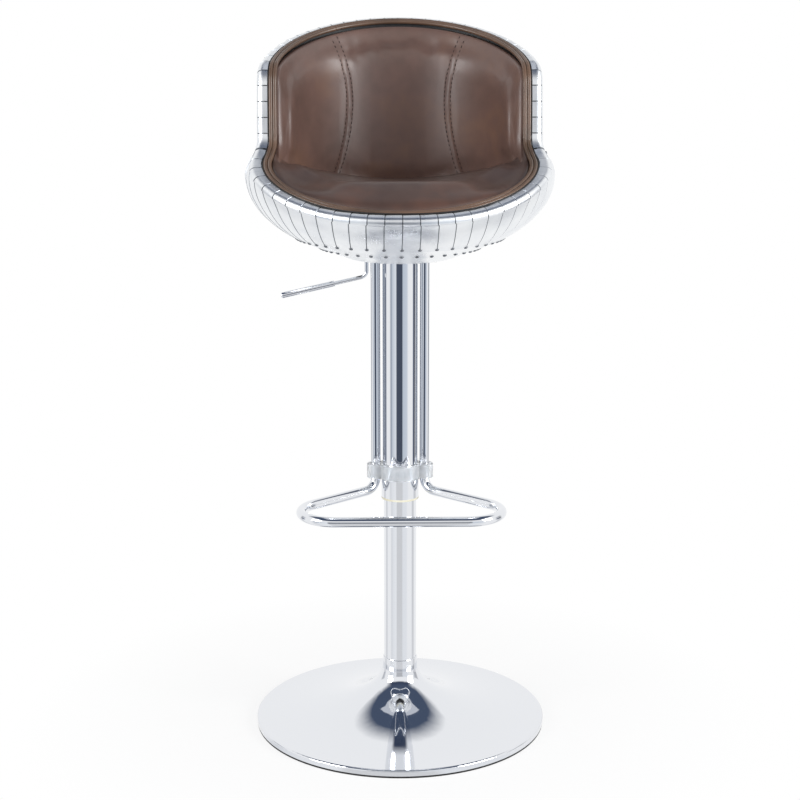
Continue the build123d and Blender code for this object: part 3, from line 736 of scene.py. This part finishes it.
    def rim_place(self, track, reaches, low, wide):
        """Where a back strip's points go: over the rolled rim, then down the wall."""
        def place(u, v, lift):
            key = low + wide * u
            a, b, share = track.at(key)
            rim = a.mix(b, share)
            near, far, _ = reaches.at(key)
            reach = near + (far - near) * share
            if v < BACK_ROLL_SHARE:
                return roll_point(rim, v / BACK_ROLL_SHARE, lift + RIM_STRIP_LIFT)
            along = (v - BACK_ROLL_SHARE) / (1.0 - BACK_ROLL_SHARE)
            return below_rim(rim, RIM_ROUND + (reach - RIM_ROUND) * along, lift + RIM_STRIP_LIFT)
        return place

    def reaches(self, rear, keys):
        """How far each strip comes down: shorter in the notch and on the inside of corners."""
        full = sizes().strip_reach / MM
        found = []
        for a, b in zip(rear, rear[1:]):
            step = b.place - a.place
            closing = (b.face - a.face).dot(step.normalized()) / step.length
            found.append(min(full, CORNER_CLOSING / closing) if closing > 0.0 else full)
        found.append(full)
        eased = []
        for i, key in enumerate(keys):
            near = found[max(0, i - REACH_SPREAD):i + REACH_SPREAD + 1]
            end = NOTCH_REACH + min(key, keys[-1] - key)
            eased.append(min(sum(near) / len(near), found[i] + CORNER_EXTRA, end))
        return Track(eased, keys)

    def rivet_heads(self, rivets):
        """Low domes, each standing on the strip that it holds."""
        whole = bmesh.new()
        radius = sizes().rivet_radius / MM
        for foot, tip in rivets:
            turn = (tip - foot).to_track_quat("Z", "Y").to_matrix().to_4x4()
            stretch = Matrix.Diagonal((radius, radius, radius * RIVET_DOME, 1.0))
            add_ball(whole, RIVET_GRID, Matrix.Translation(foot) @ turn @ stretch)
        return whole


# Welt
WELT_OUTER = 0.8
WELT_RAISE = 1.0
WELT_PRESS = 0.94
WELT_GRAIN = 1.6
# The thin black cord just outside the welt: painted shade for the gap between the welt and the roll.
EDGE_OUT = 3.0
EDGE_RAISE = 1.9
EDGE_RADIUS = 1.1
CORD_STEP = 3.0


class STOOL_OT_welt(bpy.types.Operator):
    """Runs the double leather cord round the inside of the rim, and beside it a thin black cord that is
    painted shade for the dark gap between the welt and the roll
    """

    bl_idname = "stool.welt"
    bl_label = "Double welt"

    def execute(self, context):
        hue = colours()
        leather = waxed_leather("tan_welt_leather", hue.welt_dark, hue.welt, hue.welt_worn, WELT_GRAIN)
        cord = sizes().welt_cord / MM
        whole = bmesh.new()
        for row in range(2):
            inward = WELT_OUTER + cord * WELT_PRESS * row
            join(whole, self.cord(inward, WELT_RAISE, cord / 2))
        piece = new_piece("double_welt", whole, leather)
        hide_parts("welt")
        # A black cord just outside the welt: painted shade of the gap between the welt and the aluminium
        # roll.
        moulding = plain_finish("gap_shade_finish", "#1C1A1A", "#121111", 0.6, patch_mm=9.0)
        edge = self.cord(-EDGE_OUT, EDGE_RAISE, EDGE_RADIUS)
        new_piece("gap_shade_cord", edge, moulding)
        return {"FINISHED"}

    def cord(self, inward, raised, radius):
        """A round cord along the inside of the rim."""
        line = [p.place + p.inward * inward + p.face * raised for p in rim_loop(SHELL_WALL)]
        points = even(line, CORD_STEP, closed=True)
        curve = bpy.data.curves.new("cord", "CURVE")
        curve.dimensions = "3D"
        curve.bevel_depth = radius
        curve.bevel_resolution = 3
        spline = curve.splines.new("POLY")
        spline.points.add(len(points) - 1)
        for spot, point in zip(spline.points, points):
            spot.co = (*point, 1.0)
        spline.use_cyclic_u = True
        holder = bpy.data.objects.new("cord", curve)
        mesh = bpy.data.meshes.new_from_object(holder)
        bpy.data.objects.remove(holder)
        bm = bmesh.new()
        bm.from_mesh(mesh)
        bpy.data.meshes.remove(mesh)
        bpy.data.curves.remove(curve)
        return bm


# Cushions
SEAT_FLOOR = 783.0
SEAT_MIDDLE = 845.0
SEAT_SLOPE = 0.0815
SEAT_BEND = 0.000035
SEAT_SIDES = 0.00105
SEAT_SIDES_FROM = (-125.0, -45.0)
SEAT_FRONT = (-0.1, 0.3)
SEAT_GRID = (160, 72)
SEAT_WALL_GAP = 3.0
SEAT_PAST_NOTCH = 2.0
SEAT_ROLL = 44.0
SEAT_RIDGE = 3.0
SEAT_RIDGE_WIDTH = 15.0
SEAT_REAR_RADIUS = 176.0
SEAT_REAR_SINK = 4.0
SEAT_REAR_BLEND = 0.25
PAD_ROUND = 2.2
PAD_INSET = 9.5
PAD_SINK = 3.0
PAD_SHRINK = 3.0
PAD_SWELL = 6.0
PAD_VOXEL = 5.0
PAD_PRESSURE = 4.0
PAD_FRAMES = 20
PAD_EDGE_HOLD = 38.0
PAD_EASINGS = 3
PAD_GRAIN = 1.4


def dish(x, y):
    """The seat's top before its edge rolls over: low at the rear, its sides rising behind the front."""
    rise = SEAT_SIDES * smooth(y, *SEAT_SIDES_FROM)
    return SEAT_MIDDLE - SEAT_SLOPE * y + SEAT_BEND * y * y + rise * x * x


class SeatEdge:
    """The seat cushion's outline: its radius and height by the angle round the column."""

    def __init__(self):
        rims = rim_loop(SHELL_WALL, ahead_of=RIM_POINTS[2][0] + SEAT_PAST_NOTCH)
        spots = [p.place + p.inward * PAD_INSET - p.face * PAD_SINK for p in rims]
        self.track = Track(spots, [math.atan2(p.y, p.x) for p in spots])

    def at(self, angle):
        """The outline's radius and height at an angle."""
        turn = (angle + math.pi) % (2.0 * math.pi) - math.pi
        rear = Vector((SEAT_REAR_RADIUS * math.cos(turn), SEAT_REAR_RADIUS * math.sin(turn), 0.0))
        rear.z = dish(rear.x, rear.y) - SEAT_REAR_SINK
        low, high = self.track.keys[0], self.track.keys[-1]
        past = max(low - turn, turn - high, 0.0)
        a, b, share = self.track.at(turn)
        spot = a.lerp(b, share).lerp(rear, smooth(past, 0.0, SEAT_REAR_BLEND))
        return math.hypot(spot.x, spot.y), spot.z


def seat_form():
    """A closed crescent cushion: rolled front, dished top, underside on the board."""
    outline = SeatEdge()
    bm = bmesh.new()
    add_ball(bm, SEAT_GRID, Matrix.Identity(4))
    edge = {v for v in bm.verts if abs(v.co.z) < 0.01}
    for vert in bm.verts:
        way = vert.co.copy()
        angle = math.atan2(way.y, way.x)
        limit, height = outline.at(angle)
        radius = limit * min(1.0, math.hypot(way.x, way.y))
        x, y = radius * math.cos(angle), radius * math.sin(angle)
        if way.z >= 0.0:
            drop = dish(limit * math.cos(angle), limit * math.sin(angle)) - height
            inside = limit - radius
            near = max(0.0, 1.0 - inside / SEAT_ROLL)
            ridge = SEAT_RIDGE * math.exp(-((inside - SEAT_ROLL) / SEAT_RIDGE_WIDTH) ** 2)
            front = smooth(-math.sin(angle), *SEAT_FRONT)
            z = dish(x, y) - drop * (1.0 - math.sqrt(max(0.0, 1.0 - near ** PAD_ROUND))) + ridge * front
        else:
            inner = (radius / (BOWL_RADIUS - SHELL_WALL)) ** 2
            wall = BOWL_WIDEST - (BOWL_DEPTH - SHELL_WALL) * math.sqrt(max(0.0, 1.0 - inner))
            z = max(SEAT_FLOOR, min(wall + SEAT_WALL_GAP, height))
        vert.co = (x, y, z)
    return bm, edge


def baked(holder):
    """A holder's mesh with its modifiers applied."""
    return bpy.data.meshes.new_from_object(holder.evaluated_get(bpy.context.evaluated_depsgraph_get()))


def blown_up(bm):
    """A closed pad filled with air as cloth, from a slightly smaller start, as a tree of its surface."""
    scene = bpy.context.scene
    mesh = bpy.data.meshes.new("pad")
    bm.to_mesh(mesh)
    mesh.transform(Matrix.Scale(MM, 4))
    pad = new_object("pad", mesh)
    smaller = pad.modifiers.new("smaller", "DISPLACE")
    smaller.strength = -PAD_SHRINK * MM
    smaller.mid_level = 0.0
    even_mesh = pad.modifiers.new("even", "REMESH")
    even_mesh.mode = "VOXEL"
    even_mesh.voxel_size = PAD_VOXEL * MM
    start = baked(pad)
    pad.modifiers.clear()
    pad.data = start
    cloth = pad.modifiers.new("air", "CLOTH").settings
    cloth.use_pressure = True
    cloth.uniform_pressure_force = PAD_PRESSURE
    cloth.effector_weights.gravity = 0.0
    for tick in range(1, PAD_FRAMES + 1):
        scene.frame_set(tick)
    swollen = baked(pad)
    scene.frame_set(1)
    pad.modifiers.clear()
    for vert, first in zip(swollen.vertices, start.vertices):
        move = vert.co - first.co
        vert.co = first.co + move * min(1.0, PAD_SWELL * MM / max(move.length, MM * MM))
    pad.data = swollen
    rounder = pad.modifiers.new("rounder", "SUBSURF")
    rounder.levels = rounder.render_levels = 1
    final = baked(pad)
    final.transform(Matrix.Scale(1.0 / MM, 4))
    tree = BVHTree.FromPolygons([v.co for v in final.vertices], [f.vertices[:] for f in final.polygons])
    bpy.data.objects.remove(pad)
    for spare in (mesh, start, swollen, final):
        bpy.data.meshes.remove(spare)
    return tree


def swell(bm, verts, edge):
    """Lays a pad's points on the blown-up cloth, less and less towards its sewn edge, which stays."""
    tree = blown_up(bm)
    near = KDTree(len(edge))
    for i, vert in enumerate(edge):
        near.insert(vert.co, i)
    near.balance()
    loose = [v for v in verts if v not in edge]
    for vert in loose:
        share = smooth(near.find(vert.co)[2], 0.0, PAD_EDGE_HOLD)
        vert.co = vert.co.lerp(tree.find_nearest(vert.co)[0], share)
    axes = {f"use_axis_{axis}": True for axis in "xyz"}
    for _ in range(PAD_EASINGS):
        bmesh.ops.smooth_vert(bm, verts=loose, factor=0.5, **axes)


class STOOL_OT_seat_pad(bpy.types.Operator):
    """Makes the seat cushion"""

    bl_idname = "stool.seat_pad"
    bl_label = "Seat cushion"

    def execute(self, context):
        hue = colours()
        # A darker copy of the back's leather: painted shade for the less lit seat.
        leather = waxed_leather(
            "brown_waxed_leather_seat_painted_shade", hue.seat_shaded_dark, hue.seat, hue.seat_shaded_worn, PAD_GRAIN
        )
        bm, edge = seat_form()
        swell(bm, bm.verts, edge)
        piece = new_piece("seat_pad", bm, leather)
        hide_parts("seat_cushion")
        return {"FINISHED"}


BACK_COLUMNS = 180
BACK_ROWS = 100
BACK_START = -36.0
BACK_FOOT_TURN = math.radians(101.5)
BACK_FOOT_SINK = 12.0
BACK_THICK = 27.0
BACK_EDGE_THICK = 12.0
BACK_EDGE_SINK = 6.0
BACK_EDGE_ROLL = 60.0
BACK_WALL_GAP = 1.0
BACK_LINE_STEP = 2.0
BACK_BEHIND = Vector((0.0, 600.0, 960.0))
SEAM_TOP = (107.0, 1068.0)
SEAM_WAIST = (75.0, 956.0)
SEAM_FOOT = (97.0, 842.0)
SEAM_DEPTH = 1.8
SEAM_HALF_WIDTH = 1.9
SEAM_FADE = 8.0
STITCH_ASIDE = 4.6
STITCH_HALF = (2.6, 0.9, 0.6)
STITCH_GRID = (6, 4)
STITCH_FROM = -300.0
BACKWARDS = Vector((0.0, 1.0, 0.0))


def seam_x(z):
    """How far a back seam lies from the middle at a height."""
    end = SEAM_TOP if z > SEAM_WAIST[1] else SEAM_FOOT
    share = (z - SEAM_WAIST[1]) / (end[1] - SEAM_WAIST[1])
    return SEAM_WAIST[0] + (end[0] - SEAM_WAIST[0]) * share * share


def back_form():
    """The back cushion: a leather face from the seat to the welt, backed against the shell."""
    rims = rim_loop(SHELL_WALL, behind=BACK_START)
    spots = [p.place + p.inward * PAD_INSET - p.face * BACK_EDGE_SINK for p in rims]
    line = even(spots, BACK_LINE_STEP)
    track = Track(line, walked(line))
    length = track.keys[-1]

    def place(u, v):
        a, b, share = track.at(u * length)
        top = a.lerp(b, share)
        top_turn = math.atan2(top.x, top.y)
        foot_turn = BACK_FOOT_TURN * (1.0 - 2.0 * u)
        foot_x, foot_y = SEAT_REAR_RADIUS * math.sin(foot_turn), SEAT_REAR_RADIUS * math.cos(foot_turn)
        foot_z = dish(foot_x, foot_y) - BACK_FOOT_SINK
        turn = foot_turn + (top_turn - foot_turn) * v
        z = foot_z + (top.z - foot_z) * v
        under_welt = (1.0 - v) * math.hypot((top_turn - foot_turn) * SEAT_REAR_RADIUS, top.z - foot_z)
        from_side = min(u, 1.0 - u) * length
        roll = min(1.0, min(under_welt, from_side) / BACK_EDGE_ROLL)
        thick = BACK_EDGE_THICK + (BACK_THICK - BACK_EDGE_THICK) * (1.0 - (1.0 - roll) ** PAD_ROUND)
        radius = wall_radius(max(z, SHOULDER_TOP), SHELL_WALL) - thick
        return Vector((radius * math.sin(turn), radius * math.cos(turn), z))

    bm = grid_sheet(BACK_COLUMNS, BACK_ROWS, place, BACK_BEHIND)
    face = list(bm.verts)
    edge = {v for v in face if v.is_boundary}
    made = bmesh.ops.extrude_face_region(bm, geom=bm.faces[:], use_keep_orig=True)
    for vert in made["geom"]:
        if isinstance(vert, bmesh.types.BMVert):
            turn = math.atan2(vert.co.x, vert.co.y)
            radius = wall_radius(max(vert.co.z, SHOULDER_TOP), SHELL_WALL) - BACK_WALL_GAP
            vert.co = (radius * math.sin(turn), radius * math.cos(turn), vert.co.z)
    bmesh.ops.recalc_face_normals(bm, faces=bm.faces)
    return bm, face, edge


def sew(face):
    """Sinks both curved seams into the back cushion's face."""
    for vert in face:
        away = abs(abs(vert.co.x) - seam_x(vert.co.z)) / SEAM_HALF_WIDTH
        below_top = smooth(vert.co.z, SEAM_TOP[1] + SEAM_FADE, SEAM_TOP[1] - SEAM_FADE)
        sink = SEAM_DEPTH * math.exp(-away * away) * below_top
        out = Vector((vert.co.x, vert.co.y, 0.0)).normalized()
        vert.co += out * sink


def stitch_rows(tree):
    """Two rows of stitches beside each seam, laid on the cushion's face."""
    whole = bmesh.new()
    pitch = sizes().stitch_pitch / MM
    count = int((SEAM_TOP[1] - SEAM_FOOT[1]) / pitch)
    for side in (-1.0, 1.0):
        for aside in (-STITCH_ASIDE, STITCH_ASIDE):
            spots = []
            for i in range(count + 1):
                z = SEAM_TOP[1] - pitch * i
                start = Vector((side * (seam_x(z) + aside), STITCH_FROM, z))
                hit = tree.ray_cast(start, BACKWARDS)
                if hit[0]:
                    spots.append(hit)
            for (here, normal, *_), (ahead, *_) in zip(spots, spots[1:]):
                along = (ahead - here).normalized()
                turn = Matrix((along, normal.cross(along), normal)).transposed().to_4x4()
                middle = Matrix.Translation(here.lerp(ahead, 0.5))
                add_ball(whole, STITCH_GRID, middle @ turn @ Matrix.Diagonal((*STITCH_HALF, 1.0)))
    return whole


class STOOL_OT_back_pad(bpy.types.Operator):
    """Makes the back cushion and its stitched seams"""

    bl_idname = "stool.back_pad"
    bl_label = "Back cushion"

    def execute(self, context):
        hue = colours()
        leather = waxed_leather(
            "brown_waxed_leather_back", hue.leather_dark, hue.leather, hue.leather_worn, PAD_GRAIN
        )
        bm, face, edge = back_form()
        swell(bm, face, edge)
        sew(face)
        stitches = stitch_rows(BVHTree.FromBMesh(bm))
        piece = new_piece("back_pad", bm, leather)
        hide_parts("back_cushion")
        thread = plain_finish("waxed_thread", "#3A2822", "#2A1C18", 0.6, patch_mm=3.0)
        new_piece("seam_stitches", stitches, thread)
        return {"FINISHED"}


# Stage
CAMERA_PLACE = (-0.045, -2.6, 1.12)
CAMERA_DOWN = 13.09
CAMERA_RIGHT = 0.99
CAMERA_LENS = 79.1
FLOOR_RADIUS = 1.5
# Name, place, what it points at, size, power, and whether metal mirrors it
SOFTBOXES = (
    ("key_softbox", (2.4, -1.3, 1.5), (0.0, 0.0, 0.9), 1.4, 62.0, True),
    ("fill_softbox", (-2.4, -1.4, 1.5), (0.0, 0.0, 0.9), 1.4, 46.0, True),
    ("front_softbox", (0.2, -2.9, 1.5), (0.0, 0.0, 0.9), 1.2, 15.0, False),
    ("top_softbox", (0.0, 0.3, 2.9), (0.0, 0.0, 0.6), 1.6, 4.0, True),
)


def azimuth(tree, way):
    """The compass turn of a direction as 0 to 1, with the front at a half."""
    parts = add_node(tree, "ShaderNodeSeparateXYZ", None, {"Vector": way})
    back = add_node(tree, "ShaderNodeMath", {1: -1.0}, {0: parts.outputs["Y"]}, operation="MULTIPLY")
    sides = {0: parts.outputs["X"], 1: back}
    turn = add_node(tree, "ShaderNodeMath", None, sides, operation="ARCTAN2")
    span = {"From Min": -math.pi, "From Max": math.pi}
    return add_node(tree, "ShaderNodeMapRange", span, {"Value": turn})


def room_bands(tree, turn):
    """What upright chrome mirrors: white walls, dark gaps between softboxes, the camera's dark end."""
    return add_node(tree, "ShaderNodeValToRGB", None, {"Fac": turn}, [
        (0.0, "#FFFFFF"), (0.17, "#FFFFFF"), (0.185, "#3A4358"), (0.215, "#8A93A4"), (0.23, "#FFFFFF"),
        (0.30, "#FFFFFF"), (0.33, "#9AA3B2"), (0.36, "#D3DAE3"), (0.425, "#EEF2F7"), (0.437, "#4E5666"),
        (0.535, "#4A5262"), (0.547, "#C9D2DD"), (0.62, "#D5DCE6"), (0.65, "#FFFFFF"), (0.74, "#FFFFFF"),
        (0.76, "#6A7386"), (0.80, "#23283A"), (0.82, "#FFFFFF"), (1.0, "#FFFFFF"),
    ])


class STOOL_OT_stage(bpy.types.Operator):
    """Sets the pale floor, the studio light and the camera"""

    bl_idname = "stool.stage"
    bl_label = "Stage"

    def execute(self, context):
        scene = context.scene
        scene.view_settings.view_transform = "Standard"
        self.floor()
        self.world(scene)
        for softbox in SOFTBOXES:
            self.lamp(*softbox)
        camera = bpy.data.cameras.new("photo_camera")
        camera.lens = CAMERA_LENS
        camera.sensor_width = 36.0
        holder = new_object("photo_camera", camera)
        holder.location = CAMERA_PLACE
        holder.rotation_euler = (math.radians(90.0 - CAMERA_DOWN), 0.0, math.radians(-CAMERA_RIGHT))
        scene.camera = holder
        return {"FINISHED"}

    def floor(self):
        """A white disc that fades into the white surround."""
        bm = bmesh.new()
        bmesh.ops.create_circle(bm, cap_ends=True, segments=96, radius=FLOOR_RADIUS)
        mesh = new_mesh("pale_floor", bm)
        material, tree, shader, place = new_material("pale_floor_paint")
        wire(tree, shader, {"Base Color": hex_colour("#F4F4F4"), "Roughness": 0.9})
        away = add_node(tree, "ShaderNodeVectorMath", None, {0: place}, operation="LENGTH")
        rays = add_node(tree, "ShaderNodeLightPath")
        faint = add_node(
            tree, "ShaderNodeMath", {1: 0.3}, {0: rays.outputs["Is Glossy Ray"]}, operation="MULTIPLY"
        )
        bands = room_bands(tree, azimuth(tree, place))
        mirrored = add_node(
            tree, "ShaderNodeMix", {"A": (1.0, 1.0, 1.0, 1.0)},
            {"Factor": faint, "B": bands}, data_type="RGBA",
        )
        fade = add_node(
            tree, "ShaderNodeMapRange", {"From Min": 0.25, "From Max": 0.6, "To Min": 0.82},
            {"Value": away},
        )
        glow = add_node(tree, "ShaderNodeEmission", None, {"Color": mirrored})
        mix = add_node(tree, "ShaderNodeMixShader", None, {0: fade, 1: shader, 2: glow})
        output = next(n for n in tree.nodes if n.type == "OUTPUT_MATERIAL")
        wire(tree, output, links={"Surface": mix})
        mesh.materials.append(material)
        floor = new_object("pale_floor", mesh)

    def world(self, scene):
        """White to the camera; to polished metal, a white studio with the dark room behind the camera."""
        world = bpy.data.worlds.new("studio")
        scene.world = world
        world.use_nodes = True
        tree = world.node_tree
        tree.nodes.clear()
        way = add_node(tree, "ShaderNodeTexCoord").outputs["Generated"]
        height = add_node(tree, "ShaderNodeSeparateXYZ", None, {"Vector": way}).outputs["Z"]
        turn = azimuth(tree, way)
        shown = room_bands(tree, turn)
        sky = add_node(tree, "ShaderNodeValToRGB", None, {"Fac": turn}, [
            (0.0, "#FFFFFF"), (0.27, "#FFFFFF"), (0.35, "#3C465C"), (0.63, "#3C465C"), (0.71, "#FFFFFF"),
            (1.0, "#FFFFFF"),
        ])
        layers = (
            (-0.1, -0.03, 0.5, "#FFFFFF", None),
            (0.3, 0.36, 1.0, "#FFFFFF", None),
            (0.6, 0.68, 1.0, None, sky),
            (0.70, 0.82, 1.0, "#4A566C", None),
        )
        for low, high, most, colour, bands in layers:
            span = {"From Min": low, "From Max": high, "To Max": most}
            share = add_node(tree, "ShaderNodeMapRange", span, {"Value": height})
            fixed = {"B": hex_colour(colour)} if colour else None
            links = {"Factor": share, "A": shown}
            if bands:
                links["B"] = bands
            shown = add_node(tree, "ShaderNodeMix", fixed, links, data_type="RGBA")
        rays = add_node(tree, "ShaderNodeLightPath")
        light = add_node(tree, "ShaderNodeBackground", {"Color": (0.96, 0.97, 1.0, 1.0), "Strength": 0.34})
        seen = add_node(tree, "ShaderNodeBackground", {"Strength": 1.0}, {"Color": shown})
        white = add_node(tree, "ShaderNodeBackground", {"Color": (1.0, 1.0, 1.0, 1.0), "Strength": 1.0})
        for kind, ground in (("Glossy", seen), ("Transmission", white), ("Camera", white)):
            mix = {0: rays.outputs[f"Is {kind} Ray"], 1: light, 2: ground}
            light = add_node(tree, "ShaderNodeMixShader", None, mix)
        add_node(tree, "ShaderNodeOutputWorld", None, {"Surface": light})

    def lamp(self, name, place, aim, size, power, mirrored):
        """A square softbox aimed at a point."""
        lamp = bpy.data.lights.new(name, "AREA")
        lamp.energy = power
        lamp.size = size
        holder = new_object(name, lamp)
        holder.location = place
        holder.rotation_euler = (Vector(aim) - Vector(place)).to_track_quat("-Z", "Y").to_euler()
        holder.visible_glossy = mirrored


class STOOL_PT_panel(bpy.types.Panel):
    """Lists the steps that dress the stool"""

    bl_label = "Bar stool"
    bl_idname = "STOOL_PT_panel"
    bl_space_type = "VIEW_3D"
    bl_region_type = "UI"
    bl_category = "Stool"

    def draw(self, context):
        for group in (context.scene.stool_sizes, context.scene.stool_colours):
            for name in group.__annotations__:
                self.layout.prop(group, name)
        for step in STEPS:
            self.layout.operator(step.bl_idname)


STEPS = (
    STOOL_OT_stage,
    STOOL_OT_metalwork,
    STOOL_OT_skin,
    STOOL_OT_welt,
    STOOL_OT_seat_pad,
    STOOL_OT_back_pad,
)
CLASSES = (StoolSizes, StoolColours, *STEPS, STOOL_PT_panel)


def register():
    """Makes the settings, the steps and the panel known."""
    for cls in CLASSES:
        bpy.utils.register_class(cls)
    bpy.types.Scene.stool_sizes = PointerProperty(type=StoolSizes)
    bpy.types.Scene.stool_colours = PointerProperty(type=StoolColours)


def unregister():
    """Takes them away again."""
    del bpy.types.Scene.stool_colours
    del bpy.types.Scene.stool_sizes
    for cls in reversed(CLASSES):
        bpy.utils.unregister_class(cls)


def main():
    """Dresses the stool."""
    register()
    bpy.ops.stool.stage()
    bpy.ops.stool.metalwork()
    bpy.ops.stool.skin()
    bpy.ops.stool.welt()
    bpy.ops.stool.seat_pad()
    bpy.ops.stool.back_pad()


if __name__ == "__main__":
    main()
